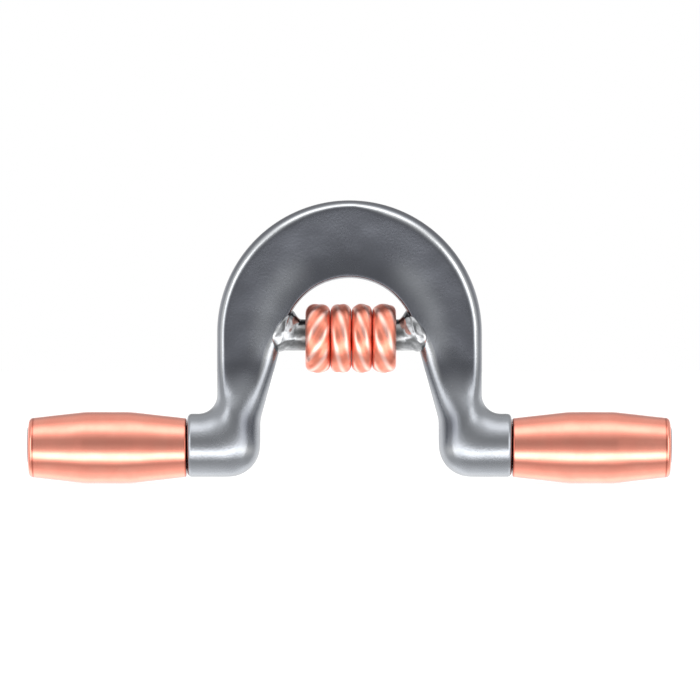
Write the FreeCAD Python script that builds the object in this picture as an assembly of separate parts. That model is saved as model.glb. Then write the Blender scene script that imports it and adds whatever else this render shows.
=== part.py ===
import FreeCAD, Part

# Mouthpiece of a curb bit: a wide port with a roller axle, and a rolling copper barrel on each bar.
# X runs along the bars, +Z is the way the port rises and -Y is the front. All lengths are millimetres.
# The shapes are drawn with the bar axis on X, and lifted at the end so that the barrels stand on Z = 0.

import math
import os

Vector = FreeCAD.Vector
X_AXIS = Vector(1, 0, 0)

# The whole mouthpiece.
MOUTH_WIDTH = 127.0        # cheek to cheek, over the ends of the two bar pins
PORT_RADIUS = 26.15        # outside of the port's arch
PORT_CENTRE_Z = 22.2       # centre of the arch above the bar axis
BAR_RADIUS = 6.25          # round stock that the elbows are made of

# The port: elbows, legs and arch.
LEG_FILLET = 3.7           # hollow corner between a leg and its elbow
LEG_WIDTH = 8.6            # a leg at its foot, across the front
LEG_FOOT = 0.8             # height of that foot, as a share of the bar's radius
ELBOW_STRAIGHT = 2.1       # straight length of the elbow between its face and the hollow corner
ELBOW_FACE_ROUND = 0.9     # rounding of the rim of the elbow's face
SIDE_BAND = 13.15          # how much smaller the window is than the arch, in radius
WINDOW_DROP = 2.25         # centre of the window below the centre of the arch
PLATE_HALF = 2.8           # half the thickness of the port's plate
OUTER_ROUND = 1.7          # rounding of the plate's outside edges
INNER_ROUND = 1.3          # rounding of the plate's inside edges
DISH_DEPTH = 0.75          # hollow of each face of the plate

# The bar pins and the copper barrels that roll on them.
SOCKET_WALL = 2.45         # elbow left round a pin
SOCKET_FLOOR = 5.15        # elbow left past the end of a pin
PIN_CHAMFER = 0.3
PIN_PROUD = 0.3            # how far a pin stands out of its barrel
BARREL_END_WALL = 1.5      # thickness of the barrel at its ends
BARREL_CROWN = 1.25        # how much thicker it is in the middle
BARREL_BAND = 0.29         # straight middle, as a share of the barrel's length
BARREL_ROUND = 0.9         # rounding of the barrel's outer rim
BARREL_CHAMFER = 0.3       # chamfer of the barrel's inner rim
BARREL_PLAY = 0.5          # radial clearance on the pin
BARREL_END_GAP = 0.15      # between the elbow's face and the barrel

# The roller axle, its welds and the copper rings that turn on it.
AXLE_RADIUS = 3.1
AXLE_RISE = 1.8            # axle above the centre of the window
AXLE_BITE = 0.4            # how far the axle's ends run in past the edge of the leg
WELD_REACH = 2.5           # weld either way along the axle from the edge of the leg
WELD_COVER = 0.7           # weld in front of the axle and behind it
WELD_TALL = 1.5            # weld above the axle and below it
WELD_RISE = 0.6            # the weld's middle above the axle
RING_REACH = 0.526         # outside of a ring, as a share of the window's radius
RING_CROWN = 0.62          # rounded part of a ring's wall
RING_WIDTHS = (1.1, 0.94, 0.9, 1.06)  # widths of the rings from left to right, against their average
RING_GAP = 0.1             # between neighbouring rings
RING_PLAY = 0.7            # radial clearance on the axle
STACK_PLAY = 1.6           # end play of the stack of rings at each side
STACK_SHIFT = 0.25         # how far the loose stack stands from the middle of the axle

TOUCH_GAP = 0.03           # a loose piece hangs this close to the shaft that carries it

# Places and fits that follow from the sizes above.
CORNER_X = -(PORT_RADIUS + LEG_FILLET)
CORNER_Z = BAR_RADIUS + LEG_FILLET
ELBOW_FACE_X = PORT_RADIUS + LEG_FILLET + ELBOW_STRAIGHT
ELBOW_INNER_X = PORT_RADIUS - LEG_WIDTH
WINDOW_RADIUS = PORT_RADIUS - SIDE_BAND
WINDOW_CENTRE_Z = PORT_CENTRE_Z - WINDOW_DROP
AXLE_Z = WINDOW_CENTRE_Z + AXLE_RISE
PIN_RADIUS = BAR_RADIUS - SOCKET_WALL
PIN_SEAT = ELBOW_FACE_X - ELBOW_INNER_X - SOCKET_FLOOR
BARREL_BORE = PIN_RADIUS + BARREL_PLAY
BARREL_HANG = BARREL_PLAY - TOUCH_GAP
BARREL_END_RADIUS = BARREL_BORE + BARREL_END_WALL
BARREL_RADIUS = BARREL_END_RADIUS + BARREL_CROWN
BARREL_INNER_X = ELBOW_FACE_X + BARREL_END_GAP
BARREL_OUTER_X = MOUTH_WIDTH / 2 - PIN_PROUD
RING_BORE = AXLE_RADIUS + RING_PLAY
RING_HANG = RING_PLAY - TOUCH_GAP
RING_RADIUS = RING_REACH * WINDOW_RADIUS
RING_SHOULDER = RING_RADIUS - RING_CROWN * (RING_RADIUS - RING_BORE)
BAR_HEIGHT = BARREL_RADIUS + BARREL_HANG

# How the round bar turns into the dished plate. A stage is 0 at the bar, 1 at the foot of the leg and 2
# at the arch, and each change runs from its first stage to its second.
THINNING = (0.3, 1.6)
FLATTENING = (0.6, 1.55)
DISHING = (1.0, 1.8)
HOLLOW_FROM = 0.5          # the hollow of a face fades in from this share of the half thickness

# How finely the skin of the port is laid out.
ROUND_POINTS = 48
BAR_ROWS = 4
ELBOW_ROWS = 18
LEG_ROWS = 12
ARCH_ROWS = 33
EDGE_ROUNDS = 20           # rounds of the search for the point where a ray meets the leg's edge

SAME = 1e-4                # lengths that differ by less than this are the same
MERGE = 1e-6               # widest gap that is closed between the faces of a skin


def smooth(value, start, end):
    """0 before start, 1 after end, and an S-curve between them."""
    t = min(1.0, max(0.0, (value - start) / (end - start)))
    return t * t * (3 - 2 * t)


def mix(a, b, share):
    """The value that lies this share of the way from a to b."""
    return a + (b - a) * share


def leg_edge():
    """The line of the left leg's inside edge: from the foot of the leg it touches the window's circle.

    It gives the line's lean from upright, and the X and Z of the point where it touches.
    """
    aside, above = ELBOW_INNER_X, WINDOW_CENTRE_Z - LEG_FOOT * BAR_RADIUS
    lean = math.atan2(aside, above) - math.asin(WINDOW_RADIUS / math.hypot(aside, above))
    return lean, -WINDOW_RADIUS * math.cos(lean), WINDOW_CENTRE_Z + WINDOW_RADIUS * math.sin(lean)


def leg_inside_x(z):
    """X of the left leg's inside edge below the window, and of the elbow's side under it."""
    lean, touch_x, touch_z = leg_edge()
    return max(-ELBOW_INNER_X, touch_x - (touch_z - z) * math.tan(lean))


def elbow_reach(angle):
    """Distance from the hollow corner to the far side of the elbow, at an angle from straight down."""
    dx, dz = math.sin(angle), -math.cos(angle)
    ball_x = -ELBOW_INNER_X - BAR_RADIUS
    if angle < math.pi / 2:
        to_bottom = (CORNER_Z + BAR_RADIUS) / -dz
        if CORNER_X + to_bottom * dx <= ball_x:
            return to_bottom
    along = (ball_x - CORNER_X) * dx - CORNER_Z * dz
    aside = (ball_x - CORNER_X) * dz + CORNER_Z * dx
    to_ball = along + math.sqrt(max(0.0, BAR_RADIUS ** 2 - aside ** 2))
    if CORNER_Z + to_ball * dz <= 0:
        return to_ball
    reach = (-ELBOW_INNER_X - CORNER_X) / dx
    for _ in range(EDGE_ROUNDS):
        reach = (leg_inside_x(CORNER_Z + reach * dz) - CORNER_X) / dx
    return reach


def window_reach(angle):
    """Distance from the arch's centre to the edge of the window, at an angle above +X."""
    dx, dz = math.cos(angle), math.sin(angle)
    drop = PORT_CENTRE_Z - WINDOW_CENTRE_Z
    reach = math.sqrt(WINDOW_RADIUS ** 2 - (drop * dx) ** 2) - drop * dz
    if PORT_CENTRE_Z + reach * dz < leg_edge()[2]:
        reach = -leg_inside_x(PORT_CENTRE_Z + reach * dz) / abs(dx)
    return reach


def on_rounded_square(turn, a, b):
    """Where a ray at this turn leaves a square of side 2 whose corners are ellipses of radii a and b."""
    c, s = abs(math.cos(turn)), abs(math.sin(turn))
    ray = 1 / max(c, s)
    u, v = 1 - a, 1 - b
    if c * ray > u and s * ray > v:
        qa = (c / a) ** 2 + (s / b) ** 2
        qb = c * u / a ** 2 + s * v / b ** 2
        qc = (u / a) ** 2 + (v / b) ** 2 - 1
        ray = (qb + math.sqrt(max(0.0, qb ** 2 - qa * qc))) / qa
    return math.copysign(c * ray, math.cos(turn)), math.copysign(s * ray, math.sin(turn))


def section(inside, outside, half, roundness, dish):
    """A ring of points across the port, between its inside and its outside edge.

    half is half the thickness. roundness runs from 1, an ellipse, to 0, a plate with rounded edges.
    dish is the depth of the hollow in each face.
    """
    half_width = math.hypot(outside[0] - inside[0], outside[1] - inside[1]) / 2
    points = []
    for i in range(ROUND_POINTS):
        turn = 2 * math.pi * i / ROUND_POINTS
        edge = OUTER_ROUND if math.cos(turn) > 0 else INNER_ROUND
        p, q = on_rounded_square(turn, mix(edge / half_width, 1, roundness), mix(edge / half, 1, roundness))
        across = min(1.0, abs(p) / (1 - edge / half_width))
        hollow = dish * (1 - across ** 2) * smooth(abs(q), HOLLOW_FROM, 1)
        y = half * q - math.copysign(hollow, q)
        share = (1 + p) / 2
        points.append(Vector(mix(inside[0], outside[0], share), y, mix(inside[1], outside[1], share)))
    return points


def blended_section(inside, outside, stage):
    """A section of the left side: stage 0 is at the bar, 1 at the foot of the leg and 2 at the arch."""
    half = mix(BAR_RADIUS, PLATE_HALF, smooth(stage, *THINNING))
    roundness = 1 - smooth(stage, *FLATTENING)
    dish = DISH_DEPTH * smooth(stage, *DISHING)
    return section(inside, outside, half, roundness, dish)


def side_rows():
    """Sections of the left side: along the bar, round the hollow corner and up the leg."""
    face = -ELBOW_FACE_X
    rows = []
    for radius in (BAR_RADIUS - ELBOW_FACE_ROUND, BAR_RADIUS):
        rows.append(section((face, -radius), (face, radius), radius, 1, 0))
    for i in range(BAR_ROWS):
        x = mix(face + ELBOW_FACE_ROUND, CORNER_X, i / BAR_ROWS)
        rows.append(blended_section((x, -BAR_RADIUS), (x, BAR_RADIUS), 0))
    for i in range(ELBOW_ROWS):
        angle = math.pi / 2 * i / ELBOW_ROWS
        dx, dz = math.sin(angle), -math.cos(angle)
        far = elbow_reach(angle)
        inside = (CORNER_X + far * dx, CORNER_Z + far * dz)
        outside = (CORNER_X + LEG_FILLET * dx, CORNER_Z + LEG_FILLET * dz)
        rows.append(blended_section(inside, outside, i / ELBOW_ROWS))
    for i in range(LEG_ROWS):
        z = mix(CORNER_Z, PORT_CENTRE_Z, i / LEG_ROWS)
        rows.append(blended_section((leg_inside_x(z), z), (-PORT_RADIUS, z), 1 + i / LEG_ROWS))
    return rows


def arch_rows():
    """Sections that fan round the arch's centre, from the left leg to the right one."""
    rows = []
    for i in range(ARCH_ROWS):
        angle = math.pi * (1 - i / (ARCH_ROWS - 1))
        dx, dz = math.cos(angle), math.sin(angle)
        near = window_reach(angle)
        inside = (near * dx, PORT_CENTRE_Z + near * dz)
        outside = (PORT_RADIUS * dx, PORT_CENTRE_Z + PORT_RADIUS * dz)
        rows.append(section(inside, outside, PLATE_HALF, 0, DISH_DEPTH))
    return rows


def skinned(rows):
    """A solid whose skin is a smooth surface over the rows of points, closed by a flat face at each end."""
    spans = len(rows) - 3
    around = len(rows[0])
    surface = Part.BSplineSurface()
    surface.buildFromPolesMultsKnots(
        rows,
        [4] + [1] * (spans - 1) + [4], [1] * (around + 1),
        list(range(spans + 1)), list(range(around + 1)),
        False, True, 3, 3)
    skin = surface.toShape()
    ends = [Part.Face(Part.Wire(e)) for e in skin.Edges if e.BoundBox.XLength < MERGE]
    solid = Part.Solid(Part.Shell([skin] + ends))
    solid.fix(MERGE, MERGE, MERGE)
    return solid


def mirrored(shape):
    """The same shape on the other side of the mouthpiece."""
    return shape.mirror(Vector(0, 0, 0), X_AXIS)


def rod(radius, x_from, x_to, z=0.0):
    """A round bar along X."""
    return Part.makeCylinder(radius, x_to - x_from, Vector(x_from, 0, z), X_AXIS)


def rim(shape, x, radius):
    """The round edge of that radius at x."""
    def matches(edge):
        curve = edge.Curve
        return (isinstance(curve, Part.Circle) and abs(curve.Radius - radius) < SAME
                and abs(curve.Center.x - x) < SAME)
    return [edge for edge in shape.Edges if matches(edge)]


def make_port():
    """Elbows, legs and arch in one piece, with a blind socket for each bar pin."""
    left = side_rows()
    right = [[Vector(-p.x, p.y, p.z) for p in row] for row in reversed(left)]
    port = skinned(left + arch_rows() + right)
    socket = rod(PIN_RADIUS, -ELBOW_FACE_X - PIN_SEAT, -ELBOW_FACE_X + PIN_SEAT)
    return port.cut([socket, mirrored(socket)])


def make_bar_pin():
    """Left bar pin, from the bottom of its socket to the cheek."""
    end = -MOUTH_WIDTH / 2
    pin = rod(PIN_RADIUS, end, -ELBOW_FACE_X + PIN_SEAT)
    return pin.makeChamfer(PIN_CHAMFER, rim(pin, end, PIN_RADIUS))


def make_barrel():
    """Left copper barrel: a straight band between two cones, hanging on its pin."""
    outer, inner = -BARREL_OUTER_X, -BARREL_INNER_X
    middle, half_band = (outer + inner) / 2, BARREL_BAND * (inner - outer) / 2
    profile = [(outer, BARREL_BORE), (outer, BARREL_END_RADIUS),
               (middle - half_band, BARREL_RADIUS), (middle + half_band, BARREL_RADIUS),
               (inner, BARREL_END_RADIUS), (inner, BARREL_BORE)]
    corners = [Vector(x, 0, r) for x, r in profile + profile[:1]]
    barrel = Part.Face(Part.makePolygon(corners)).revolve(Vector(0, 0, 0), X_AXIS, 360)
    barrel = barrel.makeFillet(BARREL_ROUND, rim(barrel, outer, BARREL_END_RADIUS))
    barrel = barrel.makeChamfer(BARREL_CHAMFER, rim(barrel, inner, BARREL_END_RADIUS))
    return barrel.translated(Vector(0, 0, -BARREL_HANG))


def make_axle(port):
    """Roller axle, coped at both ends to the inside edges of the legs."""
    reach = AXLE_BITE - leg_inside_x(AXLE_Z)
    pieces = rod(AXLE_RADIUS, -reach, reach, AXLE_Z).cut(port).Solids
    return max(pieces, key=lambda piece: piece.Volume)


def make_weld(port, axle):
    """Left weld: an oval bead round the end of the axle that laps over both faces of the leg."""
    bead = FreeCAD.Matrix()
    bead.scale(WELD_REACH, AXLE_RADIUS + WELD_COVER, AXLE_RADIUS + WELD_TALL)
    bead.move(Vector(leg_inside_x(AXLE_Z), 0, AXLE_Z + WELD_RISE))
    pieces = Part.makeSphere(1).transformGeometry(bead).cut([port, axle]).Solids
    return max(pieces, key=lambda piece: piece.Volume)


def make_ring(start, width):
    """A copper ring with a crowned outside, hanging on the axle."""
    stretch = FreeCAD.Matrix()
    stretch.scale(width / 2, 1, RING_RADIUS - RING_SHOULDER)
    stretch.move(Vector(start + width / 2, 0, RING_SHOULDER))
    crown = Part.makeCircle(1, Vector(0, 0, 0), Vector(0, -1, 0), 0, 180).transformGeometry(stretch)
    end = start + width
    sides = Part.makePolygon([Vector(start, 0, RING_SHOULDER), Vector(start, 0, RING_BORE),
                              Vector(end, 0, RING_BORE), Vector(end, 0, RING_SHOULDER)])
    ring = Part.Face(Part.Wire(crown.Edges + sides.Edges)).revolve(Vector(0, 0, 0), X_AXIS, 360)
    return ring.translated(Vector(0, 0, AXLE_Z - RING_HANG))


def make_rings():
    """The loose stack of rings, from left to right, in the room that the welds leave."""
    room = -2 * leg_inside_x(AXLE_Z) - 2 * WELD_REACH - 2 * STACK_PLAY
    average = (room + RING_GAP) / len(RING_WIDTHS) - RING_GAP
    start = STACK_SHIFT - room / 2
    rings = []
    for share in RING_WIDTHS:
        rings.append(make_ring(start, share * average))
        start += share * average + RING_GAP
    return rings


def main():
    """Makes every piece and writes it under its own name."""
    port = make_port()
    axle = make_axle(port)
    pin, barrel, weld = make_bar_pin(), make_barrel(), make_weld(port, axle)
    pieces = {"port": port, "roller_axle": axle}
    for side, place in (("left", lambda shape: shape), ("right", mirrored)):
        pieces[side + "_bar_pin"] = place(pin)
        pieces[side + "_barrel"] = place(barrel)
        pieces[side + "_axle_weld"] = place(weld)
    for number, ring in enumerate(make_rings(), start=1):
        pieces["roller_ring_" + str(number)] = ring
    os.makedirs("parts", exist_ok=True)
    for name, shape in pieces.items():
        solid = shape.Solids[0].translated(Vector(0, 0, BAR_HEIGHT))
        solid.exportStep("parts/" + name + ".step")


if __name__ == "__main__":
    main()
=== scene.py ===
"""Looks of a curb bit's mouthpiece: a cast port, copper rings on its axle and a copper barrel on each bar.

Lengths are metres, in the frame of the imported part: X along the bars, Z up the port, the front towards -Y.
"""

import logging
import math
from dataclasses import dataclass
from enum import Enum

import bmesh
import bpy
import numpy as np
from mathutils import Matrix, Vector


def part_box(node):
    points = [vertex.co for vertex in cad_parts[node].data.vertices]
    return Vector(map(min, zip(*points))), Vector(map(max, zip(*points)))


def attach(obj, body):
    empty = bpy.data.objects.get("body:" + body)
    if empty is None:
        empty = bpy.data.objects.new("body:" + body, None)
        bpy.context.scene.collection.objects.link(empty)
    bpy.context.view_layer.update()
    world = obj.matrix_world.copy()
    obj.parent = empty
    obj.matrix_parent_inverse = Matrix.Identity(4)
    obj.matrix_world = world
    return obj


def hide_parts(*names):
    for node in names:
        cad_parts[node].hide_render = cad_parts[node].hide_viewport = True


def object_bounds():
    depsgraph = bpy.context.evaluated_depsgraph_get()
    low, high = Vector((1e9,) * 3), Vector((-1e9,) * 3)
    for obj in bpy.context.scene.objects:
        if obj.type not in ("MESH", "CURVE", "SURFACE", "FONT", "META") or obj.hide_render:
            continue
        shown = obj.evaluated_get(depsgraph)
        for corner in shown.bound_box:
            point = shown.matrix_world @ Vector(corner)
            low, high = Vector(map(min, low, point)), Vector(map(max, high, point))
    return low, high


log = logging.getLogger("mouthpiece")
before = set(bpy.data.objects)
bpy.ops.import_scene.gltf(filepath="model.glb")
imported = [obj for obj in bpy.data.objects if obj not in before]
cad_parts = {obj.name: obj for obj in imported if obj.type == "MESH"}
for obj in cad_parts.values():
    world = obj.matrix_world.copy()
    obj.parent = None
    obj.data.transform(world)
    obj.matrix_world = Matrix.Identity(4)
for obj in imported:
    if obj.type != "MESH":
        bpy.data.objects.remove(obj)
CAD_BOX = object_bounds()

MM = 0.001
RGB = tuple[float, float, float]
CLOUD_EDGES = (0.35, 0.7)  # the noise is clean metal below the first and fully dulled above the second
GRAIN_EDGES = (0.3, 0.7)  # the part of the grain's range that moves the roughness
FLECK = 0.02  # how far the grain moves the roughness either way
SMOOTHEST = 0.06  # no metal is polished past this roughness


class Side(Enum):
    """The side of the mouthpiece that a piece is on, and the sign of its X."""

    LEFT = -1
    RIGHT = 1

    @property
    def word(self) -> str:
        """The side's name as the nodes write it."""
        return self.name.lower()


def smooth(value: np.ndarray | float, start: float, end: float) -> np.ndarray:
    """0 before start, 1 after end, and the S-curve 3t^2 - 2t^3 between them."""
    t = np.clip((np.asarray(value, float) - start) / (end - start), 0.0, 1.0)
    return t * t * (3.0 - 2.0 * t)


def mix(a: np.ndarray | float, b: np.ndarray | float, share: np.ndarray | float) -> np.ndarray:
    """The value that lies this share of the way from a to b."""
    return a + (b - a) * share


class Surface:
    """A closed surface over a grid of points, which becomes one mesh object."""

    def __init__(self, points: np.ndarray, looped: bool) -> None:
        """Keeps the grid.

        Args:
            points: rows by columns by 3. Each row is a closed ring round the piece.
            looped: True if the last row joins the first, as on a ring. Otherwise each end row is
                closed by a fan of triangles to its own middle.
        """
        self.points = points
        self.looped = looped
        self.attributes: dict[str, np.ndarray] = {}

    def attribute(self, name: str, values: np.ndarray) -> "Surface":
        """Adds a value for every grid point, for a finish to read.

        Args:
            name: The attribute's name.
            values: One number for each grid point, or an array that spreads over the grid.

        Returns:
            This surface.
        """
        self.attributes[name] = np.broadcast_to(values, self.points.shape[:2])
        return self

    def faces(self) -> list[list[int]]:
        """Quads between neighbouring rows, and a fan at each open end.

        Returns:
            The corner numbers of every face.
        """
        rows, columns = self.points.shape[:2]
        spans = rows if self.looped else rows - 1
        row, column = np.meshgrid(np.arange(spans), np.arange(columns), indexing="ij")
        after, beside = (row + 1) % rows, (column + 1) % columns
        quads = np.stack([row * columns + column, row * columns + beside,
                          after * columns + beside, after * columns + column], axis=-1)
        faces = quads.reshape(-1, 4).tolist()
        if not self.looped:
            ring = np.arange(columns)
            for start, pole in ((0, rows * columns), ((rows - 1) * columns, rows * columns + 1)):
                fan = np.stack([start + ring, start + (ring + 1) % columns, np.full(columns, pole)], axis=-1)
                faces += fan.tolist()
        return faces

    def build(self, name: str, body: str, slot: str, material: bpy.types.Material,
              *nodes: str) -> bpy.types.Object:
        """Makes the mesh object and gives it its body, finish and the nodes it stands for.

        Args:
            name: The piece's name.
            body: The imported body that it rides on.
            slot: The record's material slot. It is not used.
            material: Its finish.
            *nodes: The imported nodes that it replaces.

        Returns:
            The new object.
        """
        vertices = self.points.reshape(-1, 3)
        ends = np.stack([self.points[0].mean(axis=0), self.points[-1].mean(axis=0)])
        if not self.looped:
            vertices = np.concatenate([vertices, ends])
        mesh = bpy.data.meshes.new(name)
        mesh.from_pydata(vertices, [], self.faces())
        shell = bmesh.new()
        shell.from_mesh(mesh)
        bmesh.ops.recalc_face_normals(shell, faces=shell.faces)
        shell.to_mesh(mesh)
        shell.free()
        for key, grid in self.attributes.items():
            values = grid.reshape(-1)
            if not self.looped:
                values = np.concatenate([values, [grid[0].mean(), grid[-1].mean()]])
            mesh.attributes.new(key, "FLOAT", "POINT").data.foreach_set("value", values.astype(np.float32))
        mesh.shade_smooth()
        mesh.materials.append(material)
        piece = bpy.data.objects.new(name, mesh)
        bpy.context.scene.collection.objects.link(piece)
        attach(piece, body)
        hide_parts(*nodes)
        log.info("%s: %d points on body %s", name, len(vertices), body)
        return piece


def turned(profile: np.ndarray, centre: tuple[float, float, float], steps: int) -> np.ndarray:
    """Carries a profile round a line along X: y = -r cos t and z = r sin t at each turn t.

    Args:
        profile: n by 2, x and radius along the profile.
        centre: A point on the line, added to every point.
        steps: How many turns round the circle.

    Returns:
        n by steps by 3 points.
    """
    turn = np.linspace(0.0, 2.0 * np.pi, steps, endpoint=False)
    x, r = profile[:, :1], profile[:, 1:]
    along = np.broadcast_to(x, (len(profile), steps))
    return np.stack([along, -r * np.cos(turn), r * np.sin(turn)], axis=-1) + np.asarray(centre)


def arc(centre: tuple[float, float], radius: float, start: float, end: float, steps: int) -> np.ndarray:
    """Points on an arc: centre plus radius times (cos, sin) of the angle, in degrees."""
    angle = np.radians(np.linspace(start, end, steps))
    return np.stack([centre[0] + radius * np.cos(angle), centre[1] + radius * np.sin(angle)], axis=-1)


def node_box(node: str) -> tuple[np.ndarray, np.ndarray]:
    """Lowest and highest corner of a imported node, as arrays."""
    low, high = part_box(node)
    return np.array(low), np.array(high)


class Graph:
    """A short way to write a material's nodes."""

    def __init__(self, name: str) -> None:
        """Starts a material with one metal shader."""
        self.material = bpy.data.materials.new(name)
        self.material.use_nodes = True
        self.tree = self.material.node_tree
        self.tree.nodes.clear()
        self.shader = self.node("ShaderNodeBsdfPrincipled", Metallic=1.0)
        output = self.node("ShaderNodeOutputMaterial")
        self.tree.links.new(self.shader.outputs[0], output.inputs[0])
        self.place = self.node("ShaderNodeTexCoord").outputs["Object"]

    def node(self, kind: str, **inputs: object) -> bpy.types.Node:
        """Adds a node and fills its inputs.

        Args:
            kind: The node's type.
            **inputs: Input names, with underscores for spaces, to a value or to another node's output.

        Returns:
            The node.
        """
        made = self.tree.nodes.new(kind)
        for key, value in inputs.items():
            socket = made.inputs[key.replace("_", " ")]
            if isinstance(value, bpy.types.NodeSocket):
                self.tree.links.new(value, socket)
            else:
                socket.default_value = value
        return made

    def noise(self, size: float, stretch: tuple[float, float, float] = (1.0, 1.0, 1.0), detail: float = 3.0,
              rough: float = 0.55) -> bpy.types.NodeSocket:
        """Cloudy noise on the piece's own coordinates.

        Args:
            size: Distance between clouds, in metres.
            stretch: How many times finer the noise is along each axis.
            detail: How many finer layers are added.
            rough: Strength of each finer layer.

        Returns:
            A value about 0.5, between 0 and 1.
        """
        mapped = self.node("ShaderNodeMapping", Vector=self.place, Scale=stretch)
        cloud = self.node("ShaderNodeTexNoise", Vector=mapped.outputs[0], Scale=1.0 / size, Detail=detail,
                          Roughness=rough)
        return cloud.outputs[0]

    def spread(self, value: bpy.types.NodeSocket, low: float, high: float, to_low: float,
               to_high: float) -> bpy.types.NodeSocket:
        """Maps the range low..high of a value onto to_low..to_high, held at the ends."""
        mapped = self.node("ShaderNodeMapRange", Value=value)
        for index, number in enumerate((low, high, to_low, to_high), start=1):
            mapped.inputs[index].default_value = number
        return mapped.outputs[0]

    def math(self, operation: str, a: object, b: object) -> bpy.types.NodeSocket:
        """One sum, product or other operation of two values."""
        made = self.tree.nodes.new("ShaderNodeMath")
        made.operation = operation
        for socket, value in zip(made.inputs, (a, b)):
            if isinstance(value, bpy.types.NodeSocket):
                self.tree.links.new(value, socket)
            else:
                socket.default_value = value
        return made.outputs[0]

    def blend(self, share: bpy.types.NodeSocket, a: object, b: object) -> bpy.types.NodeSocket:
        """A colour that goes from a to b as share goes from 0 to 1."""
        made = self.tree.nodes.new("ShaderNodeMix")
        made.data_type = "RGBA"
        self.tree.links.new(share, made.inputs["Factor"])
        for socket, value in ((made.inputs[6], a), (made.inputs[7], b)):
            if isinstance(value, bpy.types.NodeSocket):
                self.tree.links.new(value, socket)
            else:
                socket.default_value = (*value, 1.0)
        return made.outputs[2]

    def attribute(self, name: str) -> bpy.types.NodeSocket:
        """The value that a surface carries under this name, 0 where it carries none."""
        made = self.tree.nodes.new("ShaderNodeAttribute")
        made.attribute_name = name
        return made.outputs["Fac"]


@dataclass(frozen=True)
class Metal:
    """A bare metal finish.

    Attributes:
        name: The material's name.
        colour: The metal where it is clean.
        cloudy: The metal where it has dulled.
        painted_shading: The colour painted as shade in gaps, in bores, on the axle beside the rings and on
            the darker faces of the casting; on the rings it is a lighter colour, painted as light in the gaps
            between them.
        worn_and_highlit: The metal on edges that wear bright, also used for painted highlights.
        roughness: Of the clean metal.
        roughness_cloud: Added where it has dulled.
        polish: Taken off the roughness on edges that wear and on painted highlights.
        cloud_size: Distance between dull patches.
        grain_size: Distance between grains of the surface.
        grain_height: Depth of the grain.
        grain_stretch: How many times finer the grain is along each axis.
        ripple_size: Distance between the shallow waves that finishing by hand leaves.
        ripple_height: Their depth.
    """

    name: str
    colour: RGB
    cloudy: RGB
    painted_shading: RGB
    worn_and_highlit: RGB
    roughness: float
    roughness_cloud: float
    polish: float
    cloud_size: float
    grain_size: float
    grain_height: float
    grain_stretch: tuple[float, float, float]
    ripple_size: float
    ripple_height: float

    def material(self) -> bpy.types.Material:
        """Builds the finish.

        Colour goes from clean to cloudy by a noise, to the hollow colour by the attribute "hollow", which
        paints shade (light on the rings), and to the worn colour, for worn edges and painted highlights, by
        the cube of the attribute "wear". Roughness follows the same noise, less the wear. Grain and ripple
        are bumps.

        Returns:
            The material.
        """
        graph = Graph(self.name)
        cloud = graph.spread(graph.noise(self.cloud_size), *CLOUD_EDGES, 0.0, 1.0)
        painted_shading = graph.attribute("painted_shading")
        colour = graph.blend(painted_shading, graph.blend(cloud, self.colour, self.cloudy), self.painted_shading)
        wear_and_highlight = graph.attribute("wear_and_highlight")
        colour = graph.blend(graph.math("POWER", wear_and_highlight, 3.0), colour, self.worn_and_highlit)
        graph.tree.links.new(colour, graph.shader.inputs["Base Color"])
        grain = graph.noise(self.grain_size, self.grain_stretch, 2.0)
        rough = graph.math("MULTIPLY_ADD", cloud, self.roughness_cloud)
        rough.node.inputs[2].default_value = self.roughness
        fleck = graph.spread(grain, *GRAIN_EDGES, -FLECK, FLECK)
        rough = graph.math("ADD", rough, fleck)
        worn_and_highlit = graph.math("MULTIPLY", wear_and_highlight, self.polish)
        rough = graph.math("MAXIMUM", graph.math("SUBTRACT", rough, worn_and_highlit), SMOOTHEST)
        graph.tree.links.new(rough, graph.shader.inputs["Roughness"])
        ripple = graph.node("ShaderNodeBump", Height=graph.noise(self.ripple_size, detail=1.0), Strength=1.0,
                            Distance=self.ripple_height)
        bump = graph.node("ShaderNodeBump", Height=grain, Strength=1.0, Distance=self.grain_height,
                          Normal=ripple.outputs[0])
        graph.tree.links.new(bump.outputs[0], graph.shader.inputs["Normal"])
        return graph.material


SATIN_STEEL = Metal(
    name="satin_cast_steel",
    colour=(0.345, 0.36, 0.385), cloudy=(0.31, 0.325, 0.35), painted_shading=(0.14, 0.147, 0.168),
    worn_and_highlit=(0.62, 0.635, 0.65), roughness=0.23, roughness_cloud=0.05, polish=0.10, cloud_size=9 * MM,
    grain_size=0.45 * MM, grain_height=0.020 * MM, grain_stretch=(1.0, 1.0, 1.0),
    ripple_size=8 * MM, ripple_height=0.28 * MM)
WELD_STEEL = Metal(
    name="bright_weld_steel",
    colour=(0.34, 0.345, 0.355), cloudy=(0.17, 0.175, 0.18), painted_shading=(0.115, 0.108, 0.105),
    worn_and_highlit=(0.88, 0.89, 0.90), roughness=0.13, roughness_cloud=0.08, polish=0.0, cloud_size=1.5 * MM,
    grain_size=0.4 * MM, grain_height=0.006 * MM, grain_stretch=(1.0, 1.0, 1.0),
    ripple_size=2.2 * MM, ripple_height=0.22 * MM)
TURNED_STEEL = Metal(
    name="turned_pin_steel",
    colour=(0.40, 0.41, 0.43), cloudy=(0.33, 0.33, 0.35), painted_shading=(0.2, 0.2, 0.2),
    worn_and_highlit=(0.5, 0.5, 0.5), roughness=0.22, roughness_cloud=0.08, polish=0.0, cloud_size=2 * MM,
    grain_size=0.4 * MM, grain_height=0.006 * MM, grain_stretch=(4.0, 1.0, 1.0),
    ripple_size=3 * MM, ripple_height=0.02 * MM)
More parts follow.
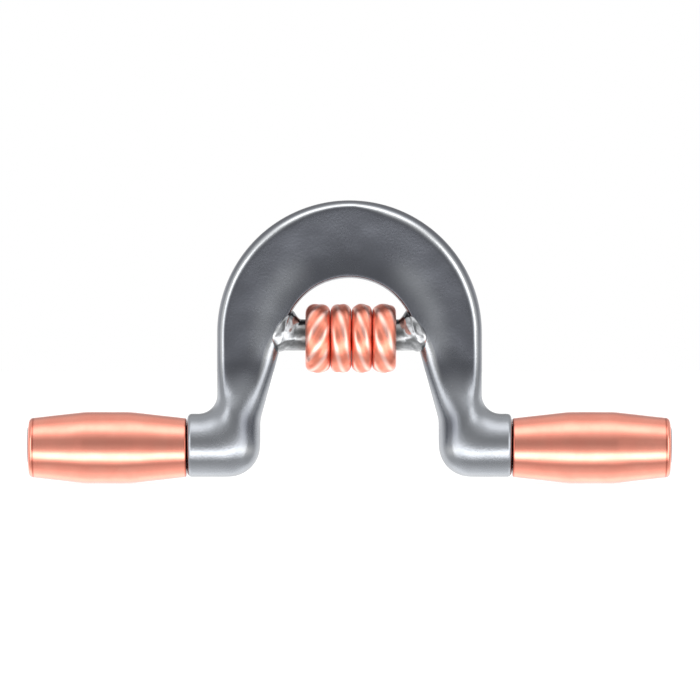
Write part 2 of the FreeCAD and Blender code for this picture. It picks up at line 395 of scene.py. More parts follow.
BARREL_COPPER = Metal(
    name="rolled_copper",
    colour=(0.93, 0.365, 0.272), cloudy=(0.91, 0.325, 0.24), painted_shading=(0.40, 0.08, 0.05),
    worn_and_highlit=(0.95, 0.45, 0.34), roughness=0.15, roughness_cloud=0.06, polish=0.05, cloud_size=4 * MM,
    grain_size=1.2 * MM, grain_height=0.006 * MM, grain_stretch=(9.0, 0.6, 0.6),
    ripple_size=7 * MM, ripple_height=0.12 * MM)
# Its colour for the hollows is lighter than the clean copper: painted light in the gaps between the rings.
RING_COPPER = Metal(
    name="twisted_copper",
    colour=(0.85, 0.285, 0.195), cloudy=(0.74, 0.225, 0.15), painted_shading=(0.93, 0.58, 0.50),
    worn_and_highlit=(0.95, 0.56, 0.48), roughness=0.37, roughness_cloud=0.06, polish=0.05, cloud_size=2 * MM,
    grain_size=0.4 * MM, grain_height=0.006 * MM, grain_stretch=(1.0, 1.0, 1.0),
    ripple_size=2 * MM, ripple_height=0.04 * MM)


@dataclass(frozen=True)
class Spot:
    """A soft oval spot that both legs of the casting carry: it paints shade at the foot of each leg and a
    highlight at the corner of each elbow.

    Attributes:
        away: Its middle, by distance from the middle of the mouthpiece.
        height: Its middle, by height over the bar.
        wide: Its half width.
        tall: Its half height.
        strength: Its value at its middle.
    """

    away: float
    height: float
    wide: float
    tall: float
    strength: float

    def weight(self, points: np.ndarray) -> np.ndarray:
        """The strength times exp(-(dx / wide)^2 - (dz / tall)^2).

        Args:
            points: Any number of points, as X and height over the bar.

        Returns:
            One value for each point.
        """
        across = (np.abs(points[..., 0]) - self.away) / self.wide
        up = (points[..., 1] - self.height) / self.tall
        return self.strength * np.exp(-across ** 2 - up ** 2)


@dataclass
class PortCasting:
    """The elbows, legs and arch, cast in one piece.

    rims gives the width of the rounded rim by angle round the arch, in degrees from the right. A stage is
    0 along the bar, 1 at the foot of the leg and 2 at the arch, and thinning, flattening, dishing and the
    painted shade on the faces (dulling) each run from their first stage to their second. inner_change gives
    the two heights over the bar between which the inner edge turns sharp. rim_highlight gives the place of
    the painted highlight line on the rim, as a share of the turn from its side to its face, and the line's
    width.
    The rubbed sizes are for a patch beside each end of the axle that is painted lighter, as a painted
    reflection: it fades in over lit_patch_away from the middle and over lit_patch_height over the bar, and
    lit_patch_across gives its place across the section and its width.
    """

    bar_radius: float = 6.25 * MM
    face_x: float = 31.95 * MM
    face_round: float = 0.9 * MM
    inner_x: float = 17.55 * MM
    socket_radius: float = 3.8 * MM
    socket_depth: float = 9.25 * MM
    arch_radius: float = 26.11 * MM
    arch_z: float = 22.2 * MM
    leg_fillet: float = 3.7 * MM
    window_radius: float = 13.0 * MM
    window_z: float = 19.95 * MM
    splay: float = math.radians(15.25)
    plate_half: float = 2.8 * MM
    rims: tuple[tuple[float, float], ...] = (
        (-60, 1.8 * MM), (-10, 1.8 * MM), (0, 1.95 * MM), (20, 2.2 * MM), (50, 2.5 * MM), (72, 2.4 * MM),
        (88, 1.6 * MM), (98, 1.7 * MM), (115, 2.1 * MM), (130, 2.2 * MM), (150, 2.0 * MM), (180, 1.65 * MM),
        (240, 1.7 * MM))
    arch_inner_round: float = 0.5 * MM
    leg_inner_round: float = 2.5 * MM
    dish: float = 0.42 * MM
    dish_lean: float = 1.35
    thinning: tuple[float, float] = (0.3, 1.6)
    flattening: tuple[float, float] = (0.6, 1.8)
    dishing: tuple[float, float] = (1.0, 1.8)
    # the stages over which the faces take on painted shade
    face_shade_stages: tuple[float, float] = (0.9, 1.5)
    inner_change: tuple[float, float] = (18 * MM, 28 * MM)
    # the painted highlight line on the rim
    rim_highlight: tuple[float, float] = (0.72, 0.2)
    # a patch painted lighter beside each end of the axle: a painted reflection
    lit_patch: float = 0.75
    lit_patch_away: tuple[float, float] = (8 * MM, 15 * MM)
    lit_patch_height: tuple[float, float] = (14 * MM, 21 * MM)
    lit_patch_across: tuple[float, float] = (-0.38, 0.34)
    # painted shade at the foot of each leg, and a painted highlight on the corner of the elbow under it
    foot_shade: Spot = Spot(20.1 * MM, 4.0 * MM, 1.8 * MM, 3.6 * MM, 1.0)
    corner_highlight: Spot = Spot(20.1 * MM, -1.0 * MM, 1.9 * MM, 1.6 * MM, 0.9)
    around: tuple[int, int, int] = (14, 24, 12)
    bar_rows: int = 8
    elbow_rows: int = 44
    leg_rows: int = 48
    arch_rows: int = 141
    easings: int = 3
    searches: int = 20

    @property
    def corner(self) -> tuple[float, float]:
        """Centre of the hollow corner between the left leg and its elbow, as X and height over the bar."""
        return -(self.arch_radius + self.leg_fillet), self.bar_radius + self.leg_fillet

    def window_touch(self) -> tuple[float, float]:
        """X and height of the point where the left leg's inside edge leaves the window's circle."""
        return (-self.window_radius * math.cos(self.splay),
                self.window_z + self.window_radius * math.sin(self.splay))

    def leg_inside(self, z: np.ndarray) -> np.ndarray:
        """X of the left leg's inside edge: a line that touches the window's circle, then the elbow's side."""
        touch_x, touch_z = self.window_touch()
        return np.maximum(-self.inner_x, touch_x - (touch_z - z) * math.tan(self.splay))

    def elbow_reach(self, angle: np.ndarray) -> np.ndarray:
        """Distance from the hollow corner to the far side of the elbow.

        A ray leaves the corner at each angle from straight down. It ends on the bottom line, on the ball
        at the elbow's outside, or on the leg's inside edge.

        Args:
            angle: Angles of the rays, from 0 to under a right angle.

        Returns:
            The length of each ray.
        """
        px, pz = self.corner
        dx, dz = np.sin(angle), -np.cos(angle)
        ball_x = -self.inner_x - self.bar_radius
        to_bottom = (pz + self.bar_radius) / np.cos(angle)
        along = (ball_x - px) * dx - pz * dz
        aside = (ball_x - px) * dz + pz * dx
        to_ball = along + np.sqrt(np.maximum(0.0, self.bar_radius ** 2 - aside ** 2))
        slope = np.maximum(dx, 1e-3)
        to_side = (-self.inner_x - px) / slope
        for _ in range(self.searches):
            to_side = (self.leg_inside(pz + to_side * dz) - px) / slope
        reach = np.where(pz + to_ball * dz <= 0, to_ball, to_side)
        return np.where(px + to_bottom * dx <= ball_x, to_bottom, reach)

    def left_path(self) -> tuple[np.ndarray, np.ndarray, np.ndarray]:
        """Inside and outside edges from the left elbow's face to the foot of the arch.

        Returns:
            The inside points and outside points, n by 2 as X and height over the bar, and the stage of
            each: 0 along the bar, 1 at the foot of the leg and 2 at the arch.
        """
        px, pz = self.corner
        x = np.linspace(-self.face_x + self.face_round, px, self.bar_rows, endpoint=False)
        radius = np.full_like(x, self.bar_radius)
        bar_in, bar_out = np.stack([x, -radius], -1), np.stack([x, radius], -1)
        angle = np.linspace(0.0, np.pi / 2, self.elbow_rows, endpoint=False)
        ray = np.stack([np.sin(angle), -np.cos(angle)], -1)
        elbow_in = np.array([px, pz]) + self.elbow_reach(angle)[:, None] * ray
        elbow_out = np.array([px, pz]) + self.leg_fillet * ray
        z = np.linspace(pz, self.arch_z, self.leg_rows, endpoint=False)
        leg_in = np.stack([self.leg_inside(z), z], -1)
        leg_out = np.stack([np.full_like(z, -self.arch_radius), z], -1)
        stage = np.concatenate([0 * x, angle / (np.pi / 2), 1.0 + (z - pz) / (self.arch_z - pz)])
        inside = np.concatenate([bar_in, elbow_in, leg_in])
        return inside, np.concatenate([bar_out, elbow_out, leg_out]), stage

    def arch_path(self) -> tuple[np.ndarray, np.ndarray]:
        """Inside and outside edges of the arch: rays from its centre, from the left leg to the right.

        Returns:
            The inside points and outside points, n by 2.
        """
        angle = np.linspace(np.pi, 0.0, self.arch_rows)
        dx, dz = np.cos(angle), np.sin(angle)
        drop = self.arch_z - self.window_z
        reach = np.sqrt(self.window_radius ** 2 - (drop * dx) ** 2) - drop * dz
        low = self.arch_z + reach * dz < self.window_touch()[1]
        line = -self.leg_inside(self.arch_z + reach * dz) / np.maximum(np.abs(dx), 1e-3)
        reach = np.where(low, line, reach)
        ray = np.stack([dx, dz], -1)
        centre = np.array([0.0, self.arch_z])
        return centre + reach[:, None] * ray, centre + self.arch_radius * ray

    def path(self) -> tuple[np.ndarray, np.ndarray, np.ndarray]:
        """The whole way from elbow to elbow, eased along its length.

        Returns:
            Inside points, outside points and stages.
        """
        left_in, left_out, left_stage = self.left_path()
        arch_in, arch_out = self.arch_path()
        flip = np.array([-1.0, 1.0])
        inside = np.concatenate([left_in, arch_in, left_in[::-1] * flip])
        outside = np.concatenate([left_out, arch_out, left_out[::-1] * flip])
        stage = np.concatenate([left_stage, np.full(len(arch_in), 2.0), left_stage[::-1]])
        for _ in range(self.easings):
            for line in (inside, outside):
                line[1:-1] = 0.25 * line[:-2] + 0.5 * line[1:-1] + 0.25 * line[2:]
        return inside, outside, stage

    def section(self, width: np.ndarray, half: np.ndarray, roundness: np.ndarray, dish: np.ndarray,
                rim: np.ndarray, inner_round: np.ndarray) -> tuple[np.ndarray, np.ndarray, np.ndarray]:
        """Closed sections across the casting.

        Going across by c from the outer edge to the inner one, the front is a quarter ellipse for the
        rim, a hollow sin(pi u^lean) for the dished face, and a quarter ellipse for the inner edge. It is
        mixed with the ellipse half * sqrt(1 - (c / w)^2) by roundness. The back mirrors the front.

        Args:
            width: Half the width of each section.
            half: Half its thickness.
            roundness: 1 for an ellipse, 0 for the plate.
            dish: Depth of the hollow in the face.
            rim: Width of the rounded rim.
            inner_round: Size of the inner edge's rounding.

        Returns:
            Across and depth for every section and point, and how much painted highlight each point carries,
            partly edge wear: in a line on the rim, and on the inner edge of the legs.
        """
        rim_n, face_n, inner_n = self.around
        w, h, a, b = width[:, None], half[:, None], rim[:, None], inner_round[:, None]
        t = np.linspace(0.0, np.pi / 2, rim_n, endpoint=False)
        u = np.linspace(0.0, 1.0, face_n, endpoint=False)
        v = np.linspace(0.0, np.pi / 2, inner_n + 1)
        across = np.concatenate(
            [w - a * (1 - np.cos(t)), mix(w - a, b - w, u), b - w - b * np.sin(v)], axis=1)
        plate = np.concatenate([h * np.sin(t), h - dish[:, None] * np.sin(np.pi * u ** self.dish_lean),
                                h * np.cos(v)], axis=1)
        oval = h * np.sqrt(np.maximum(0.0, 1 - (across / w) ** 2))
        depth = mix(plate, oval, roundness[:, None])
        # Painted highlights: a bright line on the rim where its curve catches the light, and a bright inner
        # edge on the legs, which is partly edge wear.
        bright = smooth(b, self.arch_inner_round, self.leg_inner_round)
        place, spread = self.rim_highlight
        outer = np.concatenate([np.exp(-((t / (np.pi / 2) - place) / spread) ** 2), 0 * u, 0 * v])
        inner = np.concatenate([0 * t, smooth(u, 0.9, 1.0), 1 - v / (np.pi / 2)])
        wear_and_highlight = (outer + bright * inner) * (1 - roundness[:, None])
        back = slice(-2, 0, -1)
        return (np.concatenate([across, across[:, back]], axis=1),
                np.concatenate([-depth, depth[:, back]], axis=1),
                np.concatenate([wear_and_highlight, wear_and_highlight[:, back]], axis=1))

    def painted_face_shade(self, wear_and_highlight: np.ndarray, share: np.ndarray, middle: np.ndarray,
                 stage: np.ndarray) -> np.ndarray:
        """How dark the faces are painted: painted shade for the dark front that they reflect.

        They are painted dark all over from the leg up, except on worn edges and painted highlights and in the
        patch beside each end of the axle, which is painted a little lighter, as a painted reflection.

        Args:
            wear_and_highlight: How much wear and painted highlight each point carries.
            share: Each point's place across its section, from -1 at the inner edge to 1 at the outer one.
            middle: The middle of each section, as X and height over the bar.
            stage: The stage of each section.

        Returns:
            A value from 0 to 1 for every point.
        """
        beside = smooth(np.abs(middle[:, 0]), *self.lit_patch_away) * smooth(middle[:, 1], *self.lit_patch_height)
        place, spread = self.lit_patch_across
        patch = np.exp(-((share - place) / spread) ** 2) * beside[:, None]
        return (1 - wear_and_highlight) * (1 - self.lit_patch * patch) * smooth(stage, *self.face_shade_stages)[:, None]

    def skin(self) -> Surface:
        """Carries the sections along the path, with a blind socket at each end.

        The foot of each leg is painted dark as shade, and the corner of the elbow under it carries a painted
        highlight.

        Returns:
            The closed surface, in the frame.
        """
        inside, outside, stage = self.path()
        middle, reach = (inside + outside) / 2, (outside - inside) / 2
        width = np.hypot(reach[:, 0], reach[:, 1])
        angle = np.degrees(np.arctan2(outside[:, 1] - self.arch_z, outside[:, 0])) % 360
        angles, widths = np.transpose(self.rims)
        across, depth, wear_and_highlight = self.section(
            width,
            mix(self.bar_radius, self.plate_half, smooth(stage, *self.thinning)),
            1 - smooth(stage, *self.flattening),
            self.dish * smooth(stage, *self.dishing),
            np.interp(np.where(angle > 270, angle - 360, angle), angles, widths),
            mix(self.leg_inner_round, self.arch_inner_round, smooth(middle[:, 1], *self.inner_change)))
        share = across / width[:, None]
        flat = middle[:, None] + share[..., None] * reach[:, None]
        left = self.socket_rows()
        right = left[::-1] * np.array([-1.0, 1.0, 1.0])
        points = np.concatenate([left, np.stack([flat[..., 0], depth, flat[..., 1]], axis=-1), right])
        low, high = node_box("left_bar_pin")
        points = points + np.array([0.0, 0.0, (low[2] + high[2]) / 2])
        pad = np.zeros((len(left), wear_and_highlight.shape[1]))
        # Painted shade on the faces and at the foot of each leg, and a painted highlight at the corner of
        # each elbow.
        shade_paint = np.maximum(self.painted_face_shade(wear_and_highlight, share, middle, stage), self.foot_shade.weight(flat))
        wear_and_highlight = np.maximum(wear_and_highlight, self.corner_highlight.weight(flat))
        surface = Surface(points, looped=False).attribute("wear_and_highlight", np.concatenate([pad, wear_and_highlight, pad]))
        return surface.attribute("painted_shading", np.concatenate([pad, shade_paint, pad]))

    def socket_rows(self) -> np.ndarray:
        """Circles from the bottom of the left socket out over the elbow's rounded face.

        Returns:
            Rows of points, drawn with the bar axis at height 0.
        """
        face, lip = -self.face_x, 0.2 * MM
        bend = arc((face + self.face_round, self.bar_radius - self.face_round), self.face_round, 180, 95, 7)
        line = np.array([[face + self.socket_depth, 0.5 * self.socket_radius],
                         [face + self.socket_depth, self.socket_radius],
                         [face + lip, self.socket_radius], [face, self.socket_radius + lip]])
        line = np.concatenate([line, bend])
        ones = np.ones(len(line))
        edge = np.minimum(self.leg_inner_round, line[:, 1] / 2)
        across, depth, _ = self.section(line[:, 1], line[:, 1], ones, 0 * ones, edge, edge)
        return np.stack([np.broadcast_to(line[:, :1], across.shape), depth, across], axis=-1)

    def build(self) -> bpy.types.Object:
        """Makes the casting in satin steel."""
        return self.skin().build("port_casting", "mouthpiece", "port_steel", SATIN_STEEL.material(), "port")


@dataclass
class BarPin:
    """The plain steel pin that a barrel rolls on."""

    side: Side
    chamfer: float = 0.3 * MM
    dome: float = 0.05 * MM

    def build(self, finish: bpy.types.Material) -> bpy.types.Object:
        """Turns the pin: a flat inner end, the shaft, a chamfer and a faintly domed outer end.

        Args:
            finish: Its steel.

        Returns:
            The piece.
        """
        low, high = node_box(self.side.word + "_bar_pin")
        radius, centre = (high[2] - low[2]) / 2, (low + high) / 2
        start, end = (high[0], low[0]) if self.side is Side.LEFT else (low[0], high[0])
        out = float(self.side.value)
        radii = np.linspace(radius - self.chamfer, 0.1 * radius, 12)
        face = end - out * self.dome * (radii / radius) ** 2
        profile = np.concatenate([
            [[start, 0.5 * radius], [start, radius], [end - out * self.chamfer * 3, radius],
             [end - out * self.chamfer, radius]],
            np.stack([face, radii], -1)])
        points = turned(profile, (0.0, centre[1], centre[2]), 96)
        return Surface(points, looped=False).build(
            self.side.word + "_pin", "mouthpiece", "pin_steel", finish, self.side.word + "_bar_pin")


@dataclass
class CopperBarrel:
    """A copper sleeve, widest in the middle, that rolls on its bar pin."""

    side: Side
    end_radius: float = 5.8 * MM
    bore: float = 4.3 * MM
    band: float = 9.0 * MM
    outer_round: float = 0.9 * MM
    inner_round: float = 0.35 * MM
    ease: float = 0.35 * MM
    line: float = 0.16 * MM
    lip: float = 0.25 * MM
    line_dark: float = 0.8
    rim_shade: float = 0.9

    def build(self, finish: bpy.types.Material) -> bpy.types.Object:
        """Turns the sleeve.

        Out from the elbow, the radius rises in a straight line to the band, keeps level over it and
        falls again, and the two corners are eased over a short length. Both rims are rounded. A fine
        dark line is painted where the outer rim begins, and the inner rim and the bore are painted dark as
        shade.

        Args:
            finish: Its copper.

        Returns:
            The piece.
        """
        low, high = node_box(self.side.word + "_barrel")
        centre, crown = (low + high) / 2, (high[2] - low[2]) / 2
        half = (high[0] - low[0]) / 2
        s = np.linspace(-half + self.inner_round, half - self.outer_round, 120)
        slope = (crown - self.end_radius) / (half - self.band / 2)
        away = np.abs(s) - self.band / 2
        radius = crown - slope * self.ease * np.logaddexp(0.0, away / self.ease) \
            + slope * self.ease * np.logaddexp(0.0, -self.band / 2 / self.ease)
        end = half - self.outer_round
        last = radius[-1]
        outer = arc((end, last - self.outer_round), self.outer_round, 84, 0, 9)
        inner = arc((-half + self.inner_round, radius[0] - self.inner_round), self.inner_round, 180, 100, 5)
        lip, bore = self.lip, self.bore
        hole = [[half, bore + lip], [half - lip, bore], [-half + lip, bore], [-half, bore + lip]]
        profile = np.concatenate([inner, np.stack([s, radius], -1), outer, hole])
        profile[:, 0] = centre[0] + self.side.value * profile[:, 0]
        points = turned(profile, (0.0, centre[1], centre[2]), 144)
        along = self.side.value * (profile[:, 0] - centre[0])
        # Painted shade inside the bore.
        inside = (profile[:, 1] < self.end_radius - 1.0 * MM).astype(float)
        turned_line = np.exp(-((along - end) / self.line) ** 2)
        # Painted shade on the inner rim, beside the elbow.
        shade = smooth(-along, half - 1.2 * self.inner_round, half - 0.5 * self.inner_round)
        painted_shading = np.clip(inside + self.line_dark * turned_line + self.rim_shade * shade, 0.0, 1.0)
        surface = Surface(points, looped=True).attribute("painted_shading", painted_shading[:, None])
        return surface.build(self.side.word + "_barrel_sleeve", self.side.word + "_roller", "copper", finish,
                             self.side.word + "_barrel")


@dataclass
class RollerAxle:
    """The round bar across the port, painted dark near the rings as shade."""

    reach: float = 13.6 * MM
    dark_end: float = 11.0 * MM
    dark_ease: float = 2.0 * MM
    dark: float = 0.85

    def build(self, finish: bpy.types.Material) -> bpy.types.Object:
        """Turns the bar, with each end inside a leg.

        Args:
            finish: Its steel.

        Returns:
            The piece.
        """
        low, high = node_box("roller_axle")
        radius, centre = (high[2] - low[2]) / 2, (low + high) / 2
        x = np.linspace(-self.reach, self.reach, 40)
        profile = np.stack([x, np.full_like(x, radius)], -1)
        profile = np.concatenate([[[-self.reach, radius / 2]], profile, [[self.reach, radius / 2]]])
        points = turned(profile, (0.0, centre[1], centre[2]), 96)
        # Painted shade on the axle where it runs under and beside the rings.
        painted_shading = self.dark * smooth(self.dark_end - np.abs(profile[:, 0]), 0.0, self.dark_ease)
        surface = Surface(points, looped=False).attribute("painted_shading", painted_shading[:, None])
        return surface.build("cross_axle", "mouthpiece", "weld_steel", finish, "roller_axle")


@dataclass
class AxleWeld:
    """The weld round one end of the axle, which fills the corner to the leg and laps over its faces.

    Each size has a value for straight up, for the front and back, and for straight down.
    """

    side: Side
    casting: PortCasting
    axle_radius: float = 3.1 * MM
    height: tuple[float, float, float] = (2.1 * MM, 0.75 * MM, 0.4 * MM)
    flare: tuple[float, float, float] = (2.8 * MM, 3.0 * MM, 1.4 * MM)
    lap: tuple[float, float, float] = (1.3 * MM, 2.4 * MM, 1.1 * MM)
    lump: float = 0.10 * MM
    sunk: float = 0.05 * MM
    turns: int = 120

    def around(self, sizes: tuple[float, float, float], up: np.ndarray) -> np.ndarray:
        """One of the sizes at every turn: it eases from the front's value to the top's or the bottom's."""
        top, front, bottom = sizes
        return front + np.where(up > 0, top - front, bottom - front) * up ** 2

    def build(self, finish: bpy.types.Material) -> bpy.types.Object:
        """Lays the bead.

        s runs along the axle, from -1 at the bead's end on the axle to 0 at the edge of the leg and 1 at
        its end on the face. The radius is the axle's plus the height times an S-curve that rises before
        over the edge, and times sqrt(1 - s^2.4), a round end, after it. Each point stands off from the edge
        of the leg at its own height, so the bead follows the window's curve. Waves in s and turn make
        it uneven, and a painted highlight is brightest near its end on the face.

        Args:
            finish: Its steel.

        Returns:
            The piece.
        """
        low, high = node_box("roller_axle")
        centre = (low + high) / 2
        pin_low, pin_high = node_box("left_bar_pin")
        over_bar = centre[2] - (pin_low[2] + pin_high[2]) / 2
        s = np.concatenate([np.linspace(-1.0, 0.0, 30), np.linspace(0.0, 1.0, 26)[1:]])[:, None]
        turn = np.linspace(0.0, 2 * np.pi, self.turns, endpoint=False)
        front, up = np.cos(turn), np.sin(turn)
        fillet = smooth(s, -1.0, 0.3)
        nose = np.sqrt(np.clip(1 - np.maximum(s, 0) ** 2.4, 0, 1))
        grow = fillet * nose
        over_leg = mix(0.7 * self.axle_radius, self.axle_radius, nose)
        core = np.where(s < 0, self.axle_radius - self.sunk, over_leg)
        r = core + self.around(self.height, up) * grow
        wave = (np.sin(3 * turn + 2.1 * s + self.side.value) + 0.7 * np.sin(5 * turn - 4.0 * s)
                + 0.6 * np.sin(2 * turn + 6.0 * s + 2.0) + 0.4 * np.sin(9 * turn + 3.0 * s))
        r = r + self.lump * wave * np.sqrt(grow)
        z = r * up
        level = over_bar + z
        arch = np.sqrt(self.casting.window_radius ** 2 - (level - self.casting.window_z) ** 2)
        edge = np.where(level < self.casting.window_touch()[1], -self.casting.leg_inside(level), arch)
        along = np.where(s < 0, self.around(self.flare, up), self.around(self.lap, up)) * s
        points = np.stack([self.side.value * (edge + along), -r * front, z], axis=-1)
        points = points + np.array([0.0, centre[1], centre[2]])
        # A painted highlight, brightest near the bead's end on the face.
        bright = np.exp(-((s - 0.78) / 0.2) ** 2) * (0.75 + 0.25 * wave)
        surface = Surface(points, looped=False).attribute("wear_and_highlight", np.clip(bright, 0.0, 1.0))
        return surface.build(
            self.side.word + "_weld", "mouthpiece", "weld_steel", finish, self.side.word + "_axle_weld")


@dataclass
class CopperRing:
    """A thick copper ring whose outside is worn into slanting strands.

    lay is how many strands a line across the ring's edge meets in one turn, with a sign for the way they
    slant. valley is the place across the ring of the valley at the front: -1 is the left side, 1 the right.
    """

    number: int
    lay: int
    valley: float
    bore: float = 3.8 * MM
    crown: float = 1.9 * MM
    square: float = 2.5
    strand: float = 1.12
    groove: float = 0.17 * MM
    fullness: float = 1.3
    valley_ease: float = 0.02
    closer: float = 0.04 * MM
    lip: float = 0.3 * MM
    turns: int = 240

    def build(self, finish: bpy.types.Material) -> bpy.types.Object:
        """Shapes the ring.

        The outside is the upper half of a squarish oval. With u the place across the ring and t the turn
        round it, each point is pressed in by the groove's depth times 1 - |sin(pi k)|^fullness, where k
        is how many strands lie between it and the valley at the front. The valley's bottom is eased. The
        sides and the bore are plain.

        Args:
            finish: Its copper.

        Returns:
            The piece.
        """
        node = f"roller_ring_{self.number}"
        low, high = node_box(node)
        centre, outer = (low + high) / 2, (high[2] - low[2]) / 2
        half = (high[0] - low[0]) / 2 + self.closer
        p = np.linspace(np.pi, 0.0, 81)
        c, q = np.cos(p), np.sin(p)
        size = (np.abs(c) ** self.square + q ** self.square) ** (-1 / self.square)
        u, lift = c * size, self.crown * q * size
        shoulder = outer - self.crown
        bore_x = np.linspace(half - self.lip, -half + self.lip, 5)
        x = np.concatenate([half * u, [half], bore_x, [-half]])
        lip = [self.bore + self.lip]
        r = np.concatenate([shoulder + lift, lip, np.full_like(bore_x, self.bore), lip])
        turn = np.linspace(0.0, 2 * np.pi, self.turns, endpoint=False)
        strands = (u[:, None] - self.valley) / self.strand - self.lay * turn / (2 * np.pi)
        valley = 1 - np.sqrt(np.sin(np.pi * strands) ** 2 + self.valley_ease) ** self.fullness
        weight = smooth(q, 0.05, 0.6)[:, None]
        valley = np.concatenate([valley * weight, np.zeros((len(x) - len(u), len(turn)))])
        rr = r[:, None] - self.groove * valley
        along = np.broadcast_to(x[:, None], rr.shape)
        points = np.stack([along, -rr * np.cos(turn), rr * np.sin(turn)], axis=-1)
        # The sides and the bore are painted a lighter copper: painted light in the gaps between the rings.
        depth = 1 - smooth(r, shoulder - 0.3 * self.crown, shoulder + 0.7 * self.crown)
        crest = np.clip(1 - 1.5 * valley, 0.0, 1.0) * (1 - depth[:, None])
        surface = Surface(points + centre, looped=True).attribute("painted_shading", depth[:, None])
        surface.attribute("wear_and_highlight", crest)
        return surface.build(f"copper_ring_{self.number}", f"ring_{self.number}", "copper", finish, node)


@dataclass(frozen=True)
class Softbox:
    """A patch of light on the room's wall, between two bearings and two heights, in degrees.

    Attributes:
        bearing: From and to, 0 at the front and a right angle on the right.
        height: From and to, above the level.
        soft: Width of its soft edges.
        strength: How bright it is.
    """

    bearing: tuple[float, float]
    height: tuple[float, float]
    soft: float
    strength: float


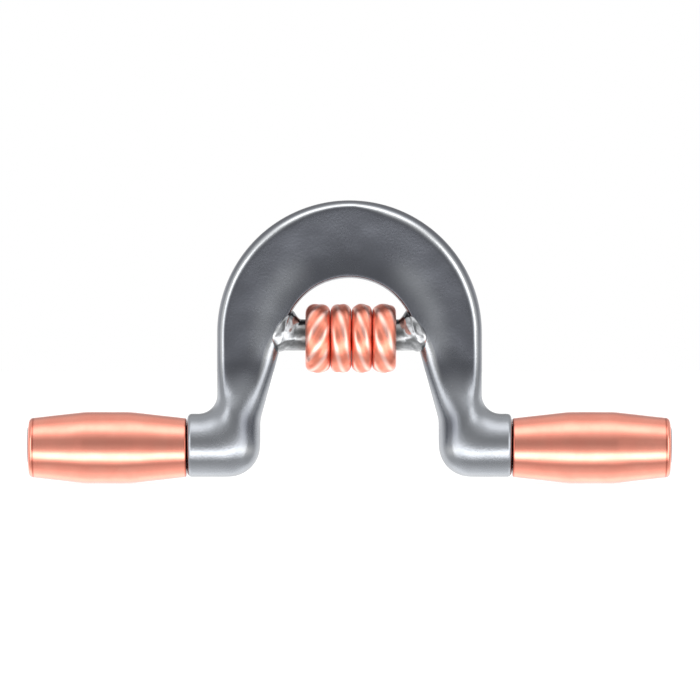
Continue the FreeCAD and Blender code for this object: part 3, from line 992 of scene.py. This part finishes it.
@dataclass
class Studio:
    """A plain pale room with soft light, and the camera.

    Attributes:
        panels: Brightness of the light panels that run along X, by pitch in degrees: 0 is the front,
            90 straight up, 180 the back and -90 straight down.
        sides: Brightness of the walls at the left and the right.
        boxes: The softboxes at both sides.
    """

    panels: tuple[tuple[float, float], ...] = (
        (-180, 0.6), (-150, 0.8), (-130, 1.3), (-105, 1.4), (-88, 1.05), (-70, 0.78), (-55, 0.72),
        (-43, 1.9), (-33, 3.9), (-23, 3.4), (-14, 1.5), (-5, 0.8), (4, 0.62), (16, 0.48), (34, 0.65),
        (50, 1.2), (62, 2.1), (76, 2.0), (87, 1.4), (100, 0.9), (125, 0.8), (150, 0.5), (180, 0.5))
    sides: tuple[float, float] = (0.85, 0.75)
    boxes: tuple[Softbox, ...] = (
        Softbox((-64, -36), (-40, 36), 7, 1.4), Softbox((36, 64), (-40, 36), 7, 1.5),
        Softbox((-42, -20), (-16, 24), 6, 0.4), Softbox((20, 42), (-16, 24), 6, 0.5),
        Softbox((-200, -118), (-60, 20), 12, 0.6), Softbox((118, 200), (-60, 20), 12, 0.6))
    brightest: float = 4.0
    distance: float = 1.2
    frame_width: float = 0.13804
    eye: tuple[float, float] = (0.0001, 0.0263)

    def world(self) -> None:
        """Lights the room.

        A ramp over pitch gives the long panels. Where a direction nears the X axis it gives way to the
        side walls, and each softbox is added over the bearing and height. What shows behind the object
        is plain white.
        """
        world = bpy.data.worlds.new("studio")
        bpy.context.scene.world = world
        world.use_nodes = True
        tree = world.node_tree
        tree.nodes.clear()

        def node(kind: str, *values: object) -> bpy.types.Node:
            """Adds a node and fills its first inputs with values or outputs."""
            made = tree.nodes.new(kind)
            for socket, value in zip(made.inputs, values):
                if isinstance(value, bpy.types.NodeSocket):
                    tree.links.new(value, socket)
                else:
                    socket.default_value = value
            return made

        def work(operation: str, *values: object) -> bpy.types.NodeSocket:
            """One operation on values or outputs."""
            made = node("ShaderNodeMath", *values)
            made.operation = operation
            return made.outputs[0]

        def degrees(a: object, b: object) -> bpy.types.NodeSocket:
            """The angle whose sine and cosine are in proportion to a and b, in degrees."""
            return work("MULTIPLY", work("ARCTAN2", a, b), 180.0 / math.pi)

        def step(value: bpy.types.NodeSocket, start: float, end: float) -> bpy.types.NodeSocket:
            """0 before start, 1 after end, eased between them."""
            made = node("ShaderNodeMapRange", value, min(start, end), max(start, end), float(start > end),
                        float(start < end))
            made.interpolation_type = "SMOOTHSTEP"
            return made.outputs[0]

        direction = node("ShaderNodeTexCoord").outputs["Generated"]
        x, y, z = node("ShaderNodeSeparateXYZ", direction).outputs
        front = work("MULTIPLY", y, -1.0)
        pitch, bearing = degrees(z, front), degrees(x, front)
        height = work("MULTIPLY", work("ARCSINE", z), 180.0 / math.pi)
        ramp = node("ShaderNodeValToRGB", work("ADD", work("DIVIDE", pitch, 360.0), 0.5))
        ramp.color_ramp.interpolation = "CARDINAL"
        stops = ramp.color_ramp.elements
        while len(stops) < len(self.panels):
            stops.new(0.5)
        for stop, (angle, value) in zip(stops, self.panels):
            stop.position = angle / 360.0 + 0.5
            stop.color = (*([value / self.brightest] * 3), 1.0)
        light = work("MULTIPLY", ramp.outputs[0], self.brightest)
        wall = node("ShaderNodeMapRange", x, -1.0, 1.0, *self.sides).outputs[0]
        share = step(work("ABSOLUTE", x), 0.35, 0.75)
        rest = work("MULTIPLY", light, work("SUBTRACT", 1.0, share))
        light = work("ADD", rest, work("MULTIPLY", wall, share))
        for box in self.boxes:
            lit = box.strength
            for value, (start, end) in ((bearing, box.bearing), (height, box.height)):
                lit = work("MULTIPLY", lit, step(value, start - box.soft, start + box.soft))
                lit = work("MULTIPLY", lit, step(value, end + box.soft, end - box.soft))
            light = work("ADD", light, lit)
        room = node("ShaderNodeBackground", (1.0, 1.0, 1.0, 1.0), light)
        plain = node("ShaderNodeBackground", (1.0, 1.0, 1.0, 1.0), 1.0)
        seen = node("ShaderNodeLightPath").outputs["Is Camera Ray"]
        shown = node("ShaderNodeMixShader", seen, room.outputs[0], plain.outputs[0])
        tree.links.new(shown.outputs[0], node("ShaderNodeOutputWorld").inputs[0])

    def floor(self) -> bpy.types.Object:
        """Lays a wide pale floor under the object, kept out of its reflections.

        Returns:
            The floor.
        """
        graph = Graph("pale_floor")
        graph.shader.inputs["Metallic"].default_value = 0.0
        graph.shader.inputs["Roughness"].default_value = 0.9
        graph.shader.inputs["Emission Color"].default_value = (1.0, 1.0, 1.0, 1.0)
        graph.shader.inputs["Emission Strength"].default_value = 0.8
        tone = graph.blend(graph.noise(0.05), (0.30, 0.30, 0.30), (0.32, 0.32, 0.32))
        graph.tree.links.new(tone, graph.shader.inputs["Base Color"])
        mesh = bpy.data.meshes.new("studio_floor")
        corners = 6.0 * np.array([[-1, -1, 0], [1, -1, 0], [1, 1, 0], [-1, 1, 0]], float)
        corners[:, 2] = CAD_BOX[0][2] - 0.02 * MM
        mesh.from_pydata(corners, [], [[0, 1, 2, 3]])
        mesh.materials.append(graph.material)
        floor = bpy.data.objects.new("studio_floor", mesh)
        bpy.context.scene.collection.objects.link(floor)
        floor.visible_glossy = False
        return floor

    def camera(self) -> bpy.types.Object:
        """Sets a long lens square on to the front.

        Returns:
            The camera.
        """
        lens = bpy.data.cameras.new("front")
        lens.sensor_width = 36.0
        lens.lens = 36.0 * self.distance / self.frame_width
        lens.clip_end = 20.0
        camera = bpy.data.objects.new("front", lens)
        camera.location = (self.eye[0], -self.distance, self.eye[1])
        camera.rotation_euler = (math.pi / 2, 0.0, 0.0)
        bpy.context.scene.collection.objects.link(camera)
        bpy.context.scene.camera = camera
        return camera

    def build(self) -> None:
        """Sets up the world, floor, camera and the plain tone curve."""
        self.world()
        self.floor()
        self.camera()
        bpy.context.scene.view_settings.view_transform = "Standard"


def main() -> None:
    """Builds and dresses every piece, then the studio."""
    logging.basicConfig(level=logging.INFO)
    casting = PortCasting()
    casting.build()
    pin_steel, barrel_copper = TURNED_STEEL.material(), BARREL_COPPER.material()
    weld_steel, ring_copper = WELD_STEEL.material(), RING_COPPER.material()
    for side in Side:
        BarPin(side).build(pin_steel)
        CopperBarrel(side).build(barrel_copper)
        AxleWeld(side, casting).build(weld_steel)
    RollerAxle().build(weld_steel)
    for number, (lay, valley) in enumerate(((9, -0.2), (-4, -0.12), (-6, -0.12), (-6, -0.12)), start=1):
        CopperRing(number, lay, valley).build(ring_copper)
    Studio().build()


if __name__ == "__main__":
    main()
